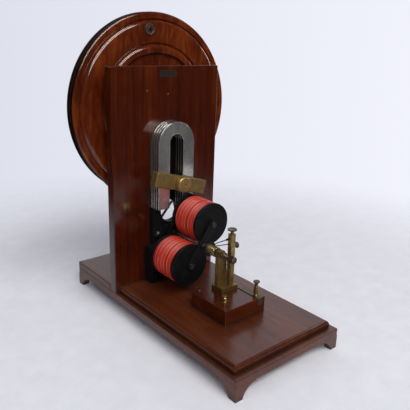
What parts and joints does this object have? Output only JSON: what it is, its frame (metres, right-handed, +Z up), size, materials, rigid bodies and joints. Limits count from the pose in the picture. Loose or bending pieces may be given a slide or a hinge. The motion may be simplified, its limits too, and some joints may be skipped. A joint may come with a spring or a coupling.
{
  "type": "magneto-electric machine",
  "caption": "Hand-cranked magneto-electric machine: a mahogany wheel drives red wound coils under a stack of steel horseshoe magnets, beside a brass commutator stand on a footed base.",
  "frame": {"origin": "under the middle of the base, on the surface that the feet stand on", "axes": "+X across to the right seen from the commutator end, +Y along the base towards the wheel, +Z up"},
  "size_m": [0.3292, 0.468, 0.527],
  "materials": {
    "mahogany": "french polished",
    "brass": "dull lacquered",
    "steel": "polished",
    "black_iron": "black japanned",
    "ebonite": "satin",
    "red_cotton": "covered wire",
    "leather": "worn"
  },
  "bodies": {
    "frame": {"plinth_board": "mahogany", "foot_front_left": "mahogany", "foot_front_right": "mahogany", "foot_back_left": "mahogany", "foot_back_right": "mahogany", "front_board": "mahogany", "back_board": "mahogany", "upright": "mahogany", "terminal_block": "mahogany", "name_plate": "brass", "upright_plugs": "brass", "clamp_bar": "brass", "bearing_bush": "brass", "axle_flange": "brass", "axle_nut": "brass", "brass_plinth": "brass", "bearing_standard": "brass", "pivot_lock_nut": "brass", "brush_pillar": "brass", "terminal_strap": "brass", "terminal_post": "brass", "short_post": "brass", "magnet_plate_1": "steel", "magnet_plate_2": "steel", "magnet_plate_3": "steel", "magnet_plate_4": "steel", "clamp_bolt": "steel", "pedestal_bolts": "steel", "flange_screws": "steel", "wheel_axle": "steel", "block_screw": "steel", "bearing_pedestal": "black_iron", "brush_upper": "black_iron", "brush_lower": "black_iron", "drive_belt": "leather"},
    "wheel": {"drive_wheel": "mahogany", "wheel_bush": "brass", "crank_spindle": "steel", "crank_rosette": "brass"},
    "handle": {"handle_grip": "mahogany"},
    "armature": {"armature_shaft": "steel", "armature_pulley": "brass", "bobbin_upper": "black_iron", "bobbin_lower": "black_iron", "winding_core_upper": "red_cotton", "winding_core_lower": "red_cotton", "winding_upper": "red_cotton", "winding_lower": "red_cotton", "yoke_bar": "black_iron", "rear_bar": "black_iron", "yoke_screws": "steel", "shaft_nut": "steel", "commutator_hub": "ebonite", "commutator_segments": "brass"},
    "clamp_nut": {"clamp_nut": "brass"},
    "pivot_screw": {"pivot_screw": "brass"},
    "top_thumbscrew": {"top_thumbscrew": "brass"},
    "side_thumbscrew": {"side_thumbscrew": "brass"},
    "post_thumbscrew": {"post_thumbscrew": "brass"}
  },
  "joints": [
    {"name": "wheel_spin", "type": "hinge", "parent": "frame", "child": "wheel", "pos_m": [0, 0.139, 0.3624], "axis": [0, 1, 0], "continuous": true},
    {"name": "armature_spin", "type": "hinge", "parent": "frame", "child": "armature", "pos_m": [0, 0, 0.1387], "axis": [0, 1, 0], "continuous": true},
    {"name": "handle_spin", "type": "hinge", "parent": "wheel", "child": "handle", "pos_m": [-0.01422, 0.179, 0.49766], "axis": [0, 1, 0], "continuous": true},
    {"name": "clamp_nut_turn", "type": "hinge", "parent": "frame", "child": "clamp_nut", "pos_m": [0, 0.0413, 0.2365], "axis": [0, 1, 0], "continuous": true},
    {"name": "pivot_screw_turn", "type": "hinge", "parent": "frame", "child": "pivot_screw", "pos_m": [0, -0.089, 0.1387], "axis": [0, 1, 0], "continuous": true},
    {"name": "top_thumbscrew_turn", "type": "hinge", "parent": "frame", "child": "top_thumbscrew", "pos_m": [0.0165, -0.0735, 0.1747], "axis": [0, 0, 1], "continuous": true},
    {"name": "side_thumbscrew_turn", "type": "hinge", "parent": "frame", "child": "side_thumbscrew", "pos_m": [0.021, -0.0735, 0.1517], "axis": [1, 0, 0], "continuous": true},
    {"name": "post_thumbscrew_turn", "type": "hinge", "parent": "frame", "child": "post_thumbscrew", "pos_m": [0.032, -0.122, 0.0932], "axis": [0, 0, 1], "continuous": true}
  ],
  "couplings": [
    {"joint": "armature_spin", "follows": "wheel_spin", "ratio": 11.543}
  ]
}
